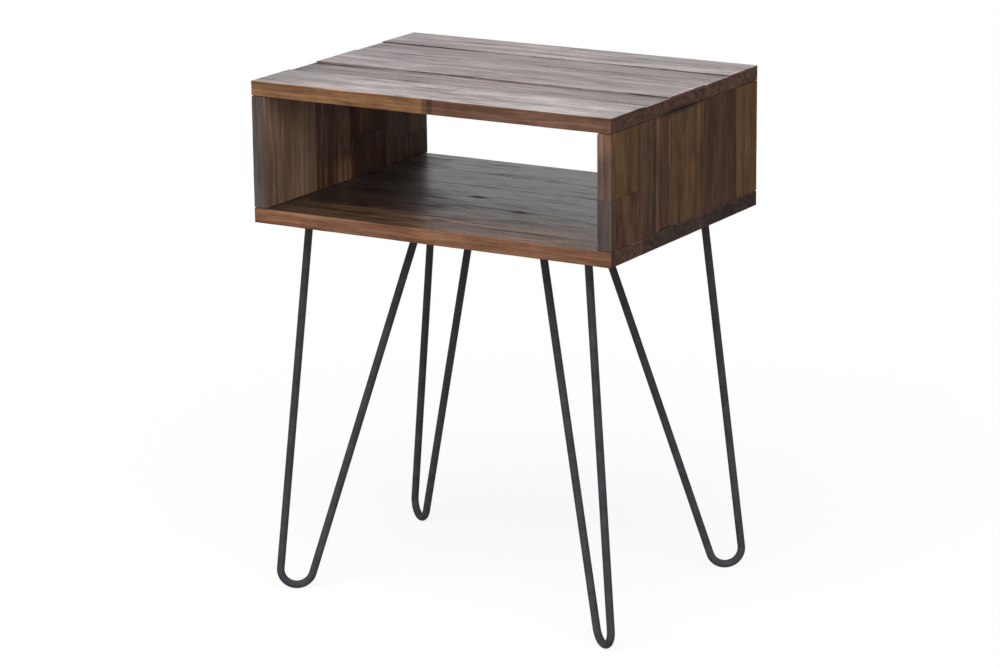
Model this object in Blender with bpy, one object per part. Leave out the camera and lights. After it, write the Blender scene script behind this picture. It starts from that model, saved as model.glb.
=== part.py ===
"""Side table: an open box glued up from wooden staves, standing on four bent steel rod legs.

Metres, +Z up. The origin is on the floor under the middle of the box, and the box's open front faces -Y.
"""
import math

import bmesh
import bpy
from mathutils import Matrix, Vector

# Box
TABLE_WIDTH = 0.508
TABLE_DEPTH = 0.381
BOX_HEIGHT = 0.180
BOARD_THICKNESS = 0.019
EDGE_EASE = 0.0005

# Space left between pieces that touch, also along a glue line
SEAT_GAP = 0.0003

# Stave widths, counted from the front edge and from the back edge. The middle stave fills the rest.
TOP_FRONT_STAVES = (0.084, 0.0635)
TOP_BACK_STAVES = (0.0775, 0.0655)
BOTTOM_FRONT_STAVES = (0.078, 0.079)
BOTTOM_BACK_STAVES = (0.078, 0.066)
RIGHT_FRONT_STAVES = (0.071, 0.080)
RIGHT_BACK_STAVES = (0.059, 0.086)
LEFT_FRONT_STAVES = (0.057, 0.057)
LEFT_BACK_STAVES = (0.099, 0.088)

# How far the second and fourth top staves are planed below the others, which leaves two steps in the top
SECOND_TOP_STAVE_DROP = 0.0014
FOURTH_TOP_STAVE_DROP = 0.0010

# Butt joints inside a stave: along the top from the left end, and up the sides from the bottom board
TOP_JOINT_FROM_LEFT = 0.255
RIGHT_FIRST_JOINT_HEIGHT = 0.062
LEFT_FOURTH_JOINT_HEIGHT = 0.053
LEFT_FIFTH_JOINT_HEIGHT = 0.033

# Dowels that pin the sides to the top and the bottom
DOWEL_DIAMETER = 0.008
DOWEL_IN_PANEL = 0.012
DOWEL_IN_SIDE = 0.018
DOWEL_CHAMFER = 0.0008
DOWEL_END_INSET = 0.032
DOWEL_MIDDLE_FROM_FRONT = 0.175

# Rod legs. Each is drawn along its plate, which is turned outwards from the box's width.
LEG_HEIGHT = 0.4835
LEG_TURN = math.radians(35.8)
ROD_DIAMETER = 0.010
ROD_SPACING = 0.1394
BEND_RADIUS = 0.021
BEND_REACH = 0.1007
WELD_SIZE = 0.0025

# How far the hand-bent feet stand off their drawn places: outwards along the plate, and to its left
FRONT_LEFT_FOOT_SHIFT = (-0.0044, 0.0014)
FRONT_RIGHT_FOOT_SHIFT = (0.0070, 0.0010)
BACK_LEFT_FOOT_SHIFT = (-0.0038, 0.0162)
BACK_RIGHT_FOOT_SHIFT = (0.0013, 0.0072)

# Plate that the two ends of a rod are welded to. Its middle is set in from the box's outer faces.
PLATE_WIDTH = 0.032
PLATE_THICKNESS = 0.003
PLATE_SIDE_INSET = 0.1108
PLATE_FRONT_INSET = 0.0826

# Countersunk screws through the plate
SCREWS_PER_LEG = 3
SCREW_SPACING = 0.042
SCREW_DIAMETER = 0.004
SCREW_HEAD_DIAMETER = 0.008
SCREW_LENGTH = 0.016
SCREW_POINT = 0.004

# Facets
ROUND_SEGMENTS = 16
BEND_STEPS = 8
PLATE_END_STEPS = 12
MERGE_DISTANCE = 0.000001
SMOOTH_ANGLE = math.radians(35)
CUT_OVERRUN = 0.001

# Linear colours
PALE_BROWN = (0.25, 0.17, 0.12)
GOLDEN_BROWN = (0.27, 0.14, 0.06)
RED_BROWN = (0.17, 0.07, 0.04)
GREY_BROWN = (0.15, 0.12, 0.11)
OLIVE_BROWN = (0.13, 0.09, 0.05)
DARK_BROWN = (0.08, 0.05, 0.035)
DOWEL_BEECH = (0.50, 0.35, 0.20)
BLACK_STEEL = (0.012, 0.013, 0.016)
ZINC = (0.45, 0.45, 0.44)
SATIN_WOOD = 0.42
RAW_WOOD = 0.70
COATED = 0.45
PLATED = 0.35

HALF_WIDTH = TABLE_WIDTH / 2
HALF_DEPTH = TABLE_DEPTH / 2
BOX_UNDERSIDE = LEG_HEIGHT
SHELF_HEIGHT = BOX_UNDERSIDE + BOARD_THICKNESS
TOP_UNDERSIDE = BOX_UNDERSIDE + BOX_HEIGHT - BOARD_THICKNESS
TOP_SURFACE = BOX_UNDERSIDE + BOX_HEIGHT
PLATE_UNDERSIDE = BOX_UNDERSIDE - SEAT_GAP - PLATE_THICKNESS
ROD_TOP = PLATE_UNDERSIDE - SEAT_GAP
ROD_RADIUS = ROD_DIAMETER / 2
ROD_TOP_REACH = ROD_SPACING / 2


def clear_scene():
    for item in list(bpy.data.objects):
        bpy.data.objects.remove(item, do_unlink=True)


def make_finish(name, colour, roughness, metallic):
    finish = bpy.data.materials.new(name)
    finish.use_nodes = True
    shader = finish.node_tree.nodes["Principled BSDF"]
    shader.inputs["Base Color"].default_value = (*colour, 1.0)
    shader.inputs["Roughness"].default_value = roughness
    shader.inputs["Metallic"].default_value = metallic
    return finish


def add_object(name, shape, location, turn=0.0):
    """New object from a bmesh, turned about the vertical."""
    bmesh.ops.recalc_face_normals(shape, faces=shape.faces[:])
    mesh = bpy.data.meshes.new(name)
    shape.to_mesh(mesh)
    shape.free()
    item = bpy.data.objects.new(name, mesh)
    item.location = location
    item.rotation_euler = (0.0, 0.0, turn)
    bpy.context.scene.collection.objects.link(item)
    return item


def add_piece(name, shape, location, colour, roughness, metallic=0.0, turn=0.0, is_round=False):
    """New object that is a piece of the table, under the table's empty."""
    piece = add_object(name, shape, location, turn)
    piece.parent = bpy.data.objects["side_table"]
    piece.data.materials.append(make_finish(name, colour, roughness, metallic))
    if is_round:
        piece.data.shade_smooth()
        piece.data.set_sharp_from_angle(angle=SMOOTH_ANGLE)
    return piece


def add_cutter(name, shape, location, group):
    """New object that only cuts, kept in the group that a Boolean reads."""
    cutter = add_object(name, shape, location)
    cutter.hide_render = True
    cutter.display_type = 'WIRE'
    group.objects.link(cutter)


def cut_with(piece, group):
    cut = piece.modifiers.new(group.name, 'BOOLEAN')
    cut.operation = 'DIFFERENCE'
    cut.solver = 'EXACT'
    cut.operand_type = 'COLLECTION'
    cut.collection = group


def revolve(profile):
    """Closed turned body from radius and height pairs that start and end on the axis."""
    shape = bmesh.new()
    points = [shape.verts.new((radius, 0.0, height)) for radius, height in profile]
    for first, second in zip(points, points[1:]):
        shape.edges.new((first, second))
    bmesh.ops.spin(
        shape,
        geom=shape.verts[:] + shape.edges[:],
        cent=(0.0, 0.0, 0.0),
        axis=(0.0, 0.0, 1.0),
        angle=math.tau,
        steps=ROUND_SEGMENTS,
        use_merge=True,
    )
    bmesh.ops.remove_doubles(shape, verts=shape.verts[:], dist=MERGE_DISTANCE)
    return shape


def stave_spans(front_widths, back_widths):
    """Front and back edge of each stave of a panel, front to back, with a gap at each glue line."""
    seams = []
    place = -HALF_DEPTH
    for width in front_widths:
        place += width
        seams.append(place)
    place = HALF_DEPTH
    for width in back_widths:
        place -= width
        seams.append(place)
    seams.sort()
    fronts = [-HALF_DEPTH] + [seam + SEAT_GAP / 2 for seam in seams]
    backs = [seam - SEAT_GAP / 2 for seam in seams] + [HALF_DEPTH]
    return list(zip(fronts, backs))


def split_span(low, high, joint):
    """The two lengths of a stave on either side of a butt joint."""
    return (low, joint - SEAT_GAP / 2), (joint + SEAT_GAP / 2, high)


def add_stave(name, across, along_depth, upright, colour):
    """One board with eased edges, between its ends along X, Y and Z."""
    low = Vector((across[0], along_depth[0], upright[0]))
    high = Vector((across[1], along_depth[1], upright[1]))
    shape = bmesh.new()
    bmesh.ops.create_cube(shape, size=1.0, matrix=Matrix.Diagonal((high - low).to_4d()))
    bmesh.ops.bevel(shape, geom=shape.edges[:], offset=EDGE_EASE, segments=1, profile=0.5, affect='EDGES')
    return add_piece(name, shape, (low + high) / 2, colour, SATIN_WOOD)


def add_top():
    """Five staves side by side. The front one is two lengths, and the second and fourth lie lower."""
    across = (-HALF_WIDTH, HALF_WIDTH)
    spans = stave_spans(TOP_FRONT_STAVES, TOP_BACK_STAVES)
    upright = (TOP_UNDERSIDE, TOP_SURFACE)
    second = (TOP_UNDERSIDE, TOP_SURFACE - SECOND_TOP_STAVE_DROP)
    fourth = (TOP_UNDERSIDE, TOP_SURFACE - FOURTH_TOP_STAVE_DROP)
    left, right = split_span(*across, TOP_JOINT_FROM_LEFT - HALF_WIDTH)
    return [
        add_stave("top_stave_1_left", left, spans[0], upright, GOLDEN_BROWN),
        add_stave("top_stave_1_right", right, spans[0], upright, RED_BROWN),
        add_stave("top_stave_2", across, spans[1], second, GREY_BROWN),
        add_stave("top_stave_3", across, spans[2], upright, PALE_BROWN),
        add_stave("top_stave_4", across, spans[3], fourth, GREY_BROWN),
        add_stave("top_stave_5", across, spans[4], upright, PALE_BROWN),
    ]


def add_bottom():
    """Five full-length staves that make the shelf and carry the legs."""
    across = (-HALF_WIDTH, HALF_WIDTH)
    upright = (BOX_UNDERSIDE, SHELF_HEIGHT)
    colours = (RED_BROWN, GREY_BROWN, GREY_BROWN, PALE_BROWN, GREY_BROWN)
    spans = stave_spans(BOTTOM_FRONT_STAVES, BOTTOM_BACK_STAVES)
    return [
        add_stave(f"bottom_stave_{number}", across, span, upright, colour)
        for number, (span, colour) in enumerate(zip(spans, colours), start=1)
    ]


def add_side(name, outer_face, inner_face, spans, joint_heights, colours):
    """Five upright staves between bottom and top. A stave with a joint height is two lengths."""
    across = sorted((outer_face, inner_face))
    upright = (SHELF_HEIGHT + SEAT_GAP, TOP_UNDERSIDE - SEAT_GAP)
    staves = []
    for number, (span, colour) in enumerate(zip(spans, colours), start=1):
        stave_name = f"{name}_side_stave_{number}"
        if number in joint_heights:
            lower, upper = split_span(*upright, SHELF_HEIGHT + joint_heights[number])
            staves.append(add_stave(f"{stave_name}_lower", across, span, lower, DARK_BROWN))
            staves.append(add_stave(f"{stave_name}_upper", across, span, upper, colour))
        else:
            staves.append(add_stave(stave_name, across, span, upright, colour))
    return staves


def add_sides():
    right = add_side(
        "right",
        HALF_WIDTH,
        HALF_WIDTH - BOARD_THICKNESS,
        stave_spans(RIGHT_FRONT_STAVES, RIGHT_BACK_STAVES),
        {1: RIGHT_FIRST_JOINT_HEIGHT},
        (OLIVE_BROWN, RED_BROWN, OLIVE_BROWN, DARK_BROWN, OLIVE_BROWN),
    )
    left = add_side(
        "left",
        -HALF_WIDTH,
        BOARD_THICKNESS - HALF_WIDTH,
        stave_spans(LEFT_FRONT_STAVES, LEFT_BACK_STAVES),
        {4: LEFT_FOURTH_JOINT_HEIGHT, 5: LEFT_FIFTH_JOINT_HEIGHT},
        (OLIVE_BROWN, RED_BROWN, OLIVE_BROWN, DARK_BROWN, OLIVE_BROWN),
    )
    return right + left


def dowel_profile(clearance):
    """Half section of a dowel, or of its hole with the clearance, about its middle."""
    radius = DOWEL_DIAMETER / 2 + clearance
    half = (DOWEL_IN_PANEL + DOWEL_IN_SIDE) / 2 + clearance
    return (
        (0.0, half),
        (radius - DOWEL_CHAMFER, half),
        (radius, half - DOWEL_CHAMFER),
        (radius, DOWEL_CHAMFER - half),
        (radius - DOWEL_CHAMFER, -half),
        (0.0, -half),
    )


def add_dowels(boards):
    """Three dowels at each end of both sides, and the holes that they sit in."""
    holes = bpy.data.collections.new("dowel_holes")
    shift = (DOWEL_IN_SIDE - DOWEL_IN_PANEL) / 2
    side_centre = HALF_WIDTH - BOARD_THICKNESS / 2
    places = (DOWEL_END_INSET - HALF_DEPTH, DOWEL_MIDDLE_FROM_FRONT - HALF_DEPTH, HALF_DEPTH - DOWEL_END_INSET)
    for side, across in (("left", -side_centre), ("right", side_centre)):
        for end, height in (("bottom", SHELF_HEIGHT + shift), ("top", TOP_UNDERSIDE - shift)):
            for number, along_depth in enumerate(places, start=1):
                name = f"{side}_{end}_dowel_{number}"
                place = (across, along_depth, height)
                add_piece(name, revolve(dowel_profile(0.0)), place, DOWEL_BEECH, RAW_WOOD, is_round=True)
                add_cutter(f"{name}_hole", revolve(dowel_profile(SEAT_GAP)), place, holes)
    for board in boards:
        cut_with(board, holes)


def screw_profile():
    """Half section of a countersunk screw, head down, from the plate's underside."""
    head = SCREW_HEAD_DIAMETER / 2
    shank = SCREW_DIAMETER / 2
    return (
        (0.0, SCREW_LENGTH),
        (shank, SCREW_LENGTH - SCREW_POINT),
        (shank, head - shank),
        (head, 0.0),
        (0.0, 0.0),
    )


def screw_hole_profile():
    """Half section of the countersink in the plate and the pilot hole above it."""
    head = SCREW_HEAD_DIAMETER / 2 + SEAT_GAP
    shank = SCREW_DIAMETER / 2 + SEAT_GAP
    return (
        (0.0, SCREW_LENGTH + SEAT_GAP),
        (shank, SCREW_LENGTH + SEAT_GAP),
        (shank, head - shank),
        (head, 0.0),
        (head, -CUT_OVERRUN),
        (0.0, -CUT_OVERRUN),
    )


def plate_shape():
    """Flat steel with round ends, centred on the tops of the rod."""
    shape = bmesh.new()
    radius = PLATE_WIDTH / 2
    outline = []
    for centre, start in ((ROD_TOP_REACH, -math.pi / 2), (-ROD_TOP_REACH, math.pi / 2)):
        for step in range(PLATE_END_STEPS + 1):
            angle = start + math.pi * step / PLATE_END_STEPS
            outline.append(shape.verts.new((centre + radius * math.cos(angle), radius * math.sin(angle), 0.0)))
    face = shape.faces.new(outline)
    raised = bmesh.ops.extrude_face_region(shape, geom=[face])["geom"]
    lifted = [item for item in raised if isinstance(item, bmesh.types.BMVert)]
    bmesh.ops.translate(shape, verts=lifted, vec=(0.0, 0.0, PLATE_THICKNESS))
    return shape


def tangent_angle(reach, bend_centre, side):
    """Angle on the bend where the straight rod from its top touches it; side is +1 outside, -1 inside."""
    away = Vector((reach, ROD_TOP)) - bend_centre
    return math.atan2(away.y, away.x) - side * math.acos(BEND_RADIUS / away.length)


def add_ring(shape, centre, angle, radius):
    """Ring of rod around a centre in the leg's plane, square to the rod, outward direction at the angle."""
    outward = Vector((math.cos(angle), 0.0, math.sin(angle)))
    sideways = Vector((0.0, 1.0, 0.0))
    middle = Vector((centre.x, 0.0, centre.y))
    ring = []
    for step in range(ROUND_SEGMENTS):
        turn = math.tau * step / ROUND_SEGMENTS
        ring.append(shape.verts.new(middle + radius * (math.cos(turn) * outward + math.sin(turn) * sideways)))
    return ring


def level_ring(ring, angle, height):
    """Slide a ring's points along the straight rod until they lie at one height."""
    along = Vector((-math.sin(angle), 0.0, math.cos(angle)))
    for point in ring:
        point.co += along * ((height - point.co.z) / along.z)


def rod_shape(foot_shift):
    """Bent rod: a straight, a bend on the floor and a straight, cut level at the plate inside a weld."""
    shape = bmesh.new()
    outwards, aside = foot_shift
    bend_centre = Vector((BEND_REACH + outwards, BEND_RADIUS + ROD_RADIUS))
    inner_angle = tangent_angle(-ROD_TOP_REACH, bend_centre, -1)
    outer_angle = tangent_angle(ROD_TOP_REACH, bend_centre, 1)
    floor_angle = -math.pi / 2
    inner_angle -= math.tau * (inner_angle > floor_angle)
    inner_half = [inner_angle + (floor_angle - inner_angle) * step / BEND_STEPS for step in range(BEND_STEPS)]
    outer_half = [floor_angle + (outer_angle - floor_angle) * step / BEND_STEPS for step in range(BEND_STEPS + 1)]
    bend = [
        add_ring(shape, bend_centre + BEND_RADIUS * Vector((math.cos(angle), math.sin(angle))), angle, ROD_RADIUS)
        for angle in inner_half + outer_half
    ]
    tops = []
    for reach, angle in ((-ROD_TOP_REACH, inner_angle), (ROD_TOP_REACH, outer_angle)):
        weld = add_ring(shape, Vector((reach, ROD_TOP)), angle, ROD_RADIUS + WELD_SIZE)
        rod = add_ring(shape, Vector((reach, ROD_TOP)), angle, ROD_RADIUS)
        level_ring(weld, angle, ROD_TOP)
        level_ring(rod, angle, ROD_TOP - WELD_SIZE)
        tops.append((weld, rod))
    rings = [tops[0][0], tops[0][1]] + bend + [tops[1][1], tops[1][0]]
    for first, second in zip(rings, rings[1:]):
        for step in range(ROUND_SEGMENTS):
            following = (step + 1) % ROUND_SEGMENTS
            shape.faces.new((first[step], first[following], second[following], second[step]))
    shape.faces.new(rings[0])
    shape.faces.new(rings[-1])
    for point in shape.verts:
        point.co.y += aside * (ROD_TOP - point.co.z) / ROD_TOP
    return shape


def add_legs(bottom_boards):
    """Rod, plate and screws under each corner, and the screws' holes."""
    holes = bpy.data.collections.new("screw_holes")
    plates = []
    corners = (
        ("front_left", -1, -1, FRONT_LEFT_FOOT_SHIFT),
        ("front_right", 1, -1, FRONT_RIGHT_FOOT_SHIFT),
        ("back_left", -1, 1, BACK_LEFT_FOOT_SHIFT),
        ("back_right", 1, 1, BACK_RIGHT_FOOT_SHIFT),
    )
    for corner, across, back, foot_shift in corners:
        name = f"{corner}_leg"
        turn = math.atan2(back * math.sin(LEG_TURN), across * math.cos(LEG_TURN))
        outward = Vector((math.cos(turn), math.sin(turn), 0.0))
        under = Vector((across * (HALF_WIDTH - PLATE_SIDE_INSET), back * (HALF_DEPTH - PLATE_FRONT_INSET), 0.0))
        plate_place = under + Vector((0.0, 0.0, PLATE_UNDERSIDE))
        add_piece(f"{name}_rod", rod_shape(foot_shift), under, BLACK_STEEL, COATED, 1.0, turn, True)
        plates.append(add_piece(f"{name}_plate", plate_shape(), plate_place, BLACK_STEEL, COATED, 1.0, turn))
        for number in range(SCREWS_PER_LEG):
            offset = SCREW_SPACING * (number - (SCREWS_PER_LEG - 1) / 2)
            place = plate_place + offset * outward
            screw_name = f"{name}_screw_{number + 1}"
            add_piece(screw_name, revolve(screw_profile()), place, ZINC, PLATED, 1.0, is_round=True)
            add_cutter(f"{screw_name}_hole", revolve(screw_hole_profile()), place, holes)
    for cut_piece in plates + bottom_boards:
        cut_with(cut_piece, holes)


def main():
    clear_scene()
    table = bpy.data.objects.new("side_table", None)
    bpy.context.scene.collection.objects.link(table)
    top_boards = add_top()
    bottom_boards = add_bottom()
    side_boards = add_sides()
    add_dowels(top_boards + bottom_boards + side_boards)
    add_legs(bottom_boards)


main()
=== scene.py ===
# %% [markdown]
# # A side table of glued staves on bent rod legs
# The table is an open wooden box, glued up from staves of mixed brown wood, on four legs of bent black
# rod. Its solid model comes first: it fixes every place and size, so nothing here has to be fitted by
# eye. The lesson then remakes each piece with the detail that a plain solid lacks, and gives it a finish.

# %% Load the solid model
import math

import bmesh
import bpy
from mathutils import Matrix, Vector, noise


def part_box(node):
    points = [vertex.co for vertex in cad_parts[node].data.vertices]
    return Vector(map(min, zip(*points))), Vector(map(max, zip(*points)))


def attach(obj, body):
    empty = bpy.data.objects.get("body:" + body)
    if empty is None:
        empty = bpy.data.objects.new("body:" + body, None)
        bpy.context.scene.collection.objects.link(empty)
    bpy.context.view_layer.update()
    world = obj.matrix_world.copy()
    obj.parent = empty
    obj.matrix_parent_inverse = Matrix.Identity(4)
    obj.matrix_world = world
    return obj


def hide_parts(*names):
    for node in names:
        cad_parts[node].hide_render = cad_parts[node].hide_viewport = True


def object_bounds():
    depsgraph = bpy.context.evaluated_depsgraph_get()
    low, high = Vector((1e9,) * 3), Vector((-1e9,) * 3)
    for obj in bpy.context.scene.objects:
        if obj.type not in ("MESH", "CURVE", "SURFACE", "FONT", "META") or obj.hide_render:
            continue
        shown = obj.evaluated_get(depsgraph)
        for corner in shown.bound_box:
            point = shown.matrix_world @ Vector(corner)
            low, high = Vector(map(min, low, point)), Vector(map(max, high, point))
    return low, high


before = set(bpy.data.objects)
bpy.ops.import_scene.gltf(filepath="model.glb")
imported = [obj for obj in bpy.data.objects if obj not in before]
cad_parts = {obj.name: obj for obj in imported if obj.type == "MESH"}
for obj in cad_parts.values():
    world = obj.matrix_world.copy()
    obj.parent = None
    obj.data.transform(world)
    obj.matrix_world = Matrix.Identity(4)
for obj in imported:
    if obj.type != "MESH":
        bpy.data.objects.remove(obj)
SOLID_LOW, SOLID_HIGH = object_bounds()
HALF_WIDTH, HALF_DEPTH, TABLE_HEIGHT = SOLID_HIGH
print(len(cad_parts), "solid pieces")
print(f"table {2 * HALF_WIDTH:.3f} x {2 * HALF_DEPTH:.3f} x {TABLE_HEIGHT:.4f} m")

# %% [markdown]
# ## Camera
# The photograph looks down on the right front corner from about four and a half metres, through a long
# lens, so that upright lines stay nearly parallel. The camera's place and turn were solved from the
# box's corners. A turn of the camera reads from right to left: roll it, tip it up from looking straight
# down, then swing it round the table.

# %% Set up the camera
PHOTO_WIDTH = 1000
FOCAL_PIXELS = 3575.45
SENSOR_WIDTH = 36.0
CAMERA_PLACE = Vector((2.23091, -3.77102, 1.49923))
CAMERA_SWING = math.radians(30.750)
CAMERA_DIP = math.radians(14.970)
CAMERA_ROLL = math.radians(-0.5891)

lens = bpy.data.cameras.new("camera")
lens.sensor_width = SENSOR_WIDTH
lens.lens = FOCAL_PIXELS * SENSOR_WIDTH / PHOTO_WIDTH
camera = bpy.data.objects.new("camera", lens)
bpy.context.collection.objects.link(camera)
camera.matrix_world = (
    Matrix.Translation(CAMERA_PLACE)
    @ Matrix.Rotation(CAMERA_SWING, 4, "Z")
    @ Matrix.Rotation(math.pi / 2 - CAMERA_DIP, 4, "X")
    @ Matrix.Rotation(CAMERA_ROLL, 4, "Z")
)
bpy.context.scene.camera = camera
print(f"camera {CAMERA_PLACE.length:.2f} m away, lens {lens.lens:.1f} mm")

# %% [markdown]
# ## Joining nodes
# Every finish below is a small network of nodes. A few helpers keep the networks readable: one fills a
# socket with a value or a link, two do sums with numbers and with places, one spreads a narrow range of
# values to a wider one, because noise bunches up around its middle, and one blends two colours.

# %% Helpers for numbers and places
def fill_socket(tree, socket, value):
    """Links another node's output, or sets a plain value."""
    if isinstance(value, bpy.types.NodeSocket):
        tree.links.new(value, socket)
    else:
        socket.default_value = value


def work_out(tree, operation, *values):
    """Product, maximum and the like of numbers."""
    step = tree.nodes.new("ShaderNodeMath")
    step.operation = operation
    for socket, value in zip(step.inputs, values):
        fill_socket(tree, socket, value)
    return step.outputs[0]


def work_out_place(tree, operation, *values):
    """The same for places, axis by axis. LENGTH makes a number of a place."""
    step = tree.nodes.new("ShaderNodeVectorMath")
    step.operation = operation
    for socket, value in zip(step.inputs, values):
        fill_socket(tree, socket, value)
    return step.outputs["Value" if operation == "LENGTH" else "Vector"]


def spread(tree, value, low, high, new_low=0.0, new_high=1.0):
    """The range from low to high, moved to the new range. What lies past it is cut off."""
    step = tree.nodes.new("ShaderNodeMapRange")
    fill_socket(tree, step.inputs["Value"], value)
    step.inputs["From Min"].default_value = low
    step.inputs["From Max"].default_value = high
    step.inputs["To Min"].default_value = new_low
    step.inputs["To Max"].default_value = new_high
    return step.outputs["Result"]


print("helpers for numbers and places ready")

# %% Blend two colours
# The sockets of a Mix node share their names between numbers, places and colours, so they go by number.
MIX_SHARE = 0
MIX_FIRST = 6
MIX_SECOND = 7
MIX_RESULT = 2


def blend_colours(tree, share, first, second, mode="MIX"):
    step = tree.nodes.new("ShaderNodeMix")
    step.data_type = "RGBA"
    step.blend_type = mode
    fill_socket(tree, step.inputs[MIX_SHARE], share)
    fill_socket(tree, step.inputs[MIX_FIRST], first)
    fill_socket(tree, step.inputs[MIX_SECOND], second)
    return step.outputs[MIX_RESULT]


print("colours blend from sockets", MIX_FIRST, "and", MIX_SECOND)

# %% [markdown]
# ## Grain that runs through the board
# Wood is a solid thing: the lines on a face, an edge and an end are cuts through the same growth rings.
# A pattern wrapped round the board would show the same stripes on its ends. So the pattern is worked out
# in space, from the object's own coordinates: rings around the heart of the tree, which lies outside
# the stave, and streaks that are drawn out along the grain.

# %% Streaks along the grain
GRAIN_AXES = {"across": 0, "upright": 2}
SHIFT_WAY = (1.0, 1.7, -2.3)


def drawn_out(grain, along, across):
    """Scale of a pattern, with its own scale along the grain."""
    scale = [across, across, across]
    scale[GRAIN_AXES[grain]] = along
    return scale


def streaks(tree, place, grain, along, across, shift, detail):
    """Noise that is drawn out along the grain. Each shift shows another part of it."""
    stretch = tree.nodes.new("ShaderNodeMapping")
    stretch.inputs["Scale"].default_value = drawn_out(grain, along, across)
    stretch.inputs["Location"].default_value = [part * shift for part in SHIFT_WAY]
    tree.links.new(place, stretch.inputs["Vector"])
    cloud = tree.nodes.new("ShaderNodeTexNoise")
    cloud.inputs["Scale"].default_value = 1.0
    cloud.inputs["Detail"].default_value = detail
    tree.links.new(stretch.outputs["Vector"], cloud.inputs["Vector"])
    return cloud


print("streaks run", ", ".join(GRAIN_AXES))

# %% Grain that wanders
WANDER_ALONG = 5.0
WANDER_ACROSS = 16.0
WANDER_DETAIL = 2.0
WANDER_REACH = 0.016
NOISE_MIDDLE = 0.5
MILLIMETRES = 1000


def wandering(tree, place, grain, shift):
    """The place, pushed to and fro by a few millimetres, so that lines run as in a real tree."""
    drift = streaks(tree, place, grain, WANDER_ALONG, WANDER_ACROSS, shift, WANDER_DETAIL)
    centred = work_out_place(tree, "SUBTRACT", drift.outputs["Color"], (NOISE_MIDDLE,) * 3)
    return work_out_place(tree, "MULTIPLY_ADD", centred, (WANDER_REACH,) * 3, place)


print(f"grain wanders up to {WANDER_REACH * NOISE_MIDDLE * MILLIMETRES:.0f} mm")

# %% Spots
def spot_nearness(tree, place, centre, reach):
    """1 in the middle of a spot, 0 from its rim outwards. An endless reach leaves that way open."""
    scale = Vector([1.0 / part for part in reach])
    inside = tree.nodes.new("ShaderNodeMapping")
    inside.inputs["Scale"].default_value = scale
    inside.inputs["Location"].default_value = -(Vector(centre) * scale)
    tree.links.new(place, inside.inputs["Vector"])
    away = work_out_place(tree, "LENGTH", inside.outputs["Vector"])
    return spread(tree, away, 1.0, 0.0)


print("spots fade towards their rims")

# %% Growth rings
RING_DETAIL = 3.0
KNOT_PUSH = 0.010
NOISE_SPAN = (0.3, 0.7)


def growth_rings(tree, place, grain, heart, tilt, spacing, knots):
    """Bands of uneven width around the heart of the tree, from 0 to 1. Knots push them aside."""
    from_heart = work_out_place(tree, "SUBTRACT", place, heart)
    lean = tree.nodes.new("ShaderNodeMapping")
    lean.inputs["Rotation"].default_value = tilt
    tree.links.new(from_heart, lean.inputs["Vector"])
    level = work_out_place(tree, "MULTIPLY", lean.outputs["Vector"], drawn_out(grain, 0.0, 1.0))
    distance = work_out_place(tree, "LENGTH", level)
    for nearness in knots:
        distance = work_out(tree, "MULTIPLY_ADD", nearness, KNOT_PUSH, distance)
    bands = tree.nodes.new("ShaderNodeTexNoise")
    bands.noise_dimensions = "1D"
    bands.inputs["Scale"].default_value = 1.0 / spacing
    bands.inputs["Detail"].default_value = RING_DETAIL
    tree.links.new(distance, bands.inputs["W"])
    return spread(tree, bands.outputs["Fac"], *NOISE_SPAN)


print("rings have", int(RING_DETAIL) + 1, "sizes of band")

# %% [markdown]
# ## Brown staves
# The staves are offcuts of one kind of wood under a thin satin lacquer, and hardly two have the same
# brown: honey and russet on the front edges, ash brown on the worn top, umber and olive on the sides,
# where the tones are also darkened by painted shade. Each tone is a middle colour, a contrast, which
# says how far the grain strays from it, and a share of veins. Edges and ends were cut fresh, so their
# tone is not that of the face. The colours are linear values, as the shader reads them.

# %% Tones of the staves
TONES = {
    "pale_ash": ((0.261, 0.211, 0.204), 0.62, 1.0),
    "ash": ((0.195, 0.147, 0.141), 0.75, 1.0),
    "dark_ash": ((0.131, 0.090, 0.085), 0.80, 1.0),
    "honey": ((0.226, 0.113, 0.057), 0.40, 1.0),
    "russet": ((0.131, 0.068, 0.044), 0.44, 1.0),
    "copper": ((0.180, 0.085, 0.049), 0.36, 1.0),
    "shelf_brown": ((0.049, 0.028, 0.018), 0.70, 1.0),
    "shelf_dark": ((0.034, 0.020, 0.015), 0.70, 1.0),
    "shelf_grey": ((0.047, 0.030, 0.024), 0.70, 1.0),
    # These three are the wood's own brown, darkened further by painted shade of the right side.
    "shade_darkened_olive": ((0.106, 0.055, 0.025), 0.34, 0.6),
    "shade_darkened_umber": ((0.089, 0.044, 0.027), 0.38, 0.6),
    "shade_darkened_dark_umber": ((0.069, 0.032, 0.019), 0.34, 0.6),
    "weathered": ((0.090, 0.070, 0.063), 0.15, 0.6),
    "warm_weathered": ((0.128, 0.085, 0.070), 0.24, 0.6),
    "pale_weathered": ((0.104, 0.081, 0.073), 0.15, 0.6),
    "tan": ((0.275, 0.170, 0.113), 0.23, 0.4),
    "dark_tan": ((0.150, 0.085, 0.058), 0.50, 0.6),
    "walnut": ((0.122, 0.072, 0.050), 0.38, 0.6),
    "sawn_end": ((0.092, 0.050, 0.036), 0.30, 0.8),
    "dark_end": ((0.053, 0.035, 0.027), 0.34, 0.8),
    "black_end": ((0.037, 0.024, 0.019), 0.34, 0.8),
}
print(len(TONES), "tones")
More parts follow.
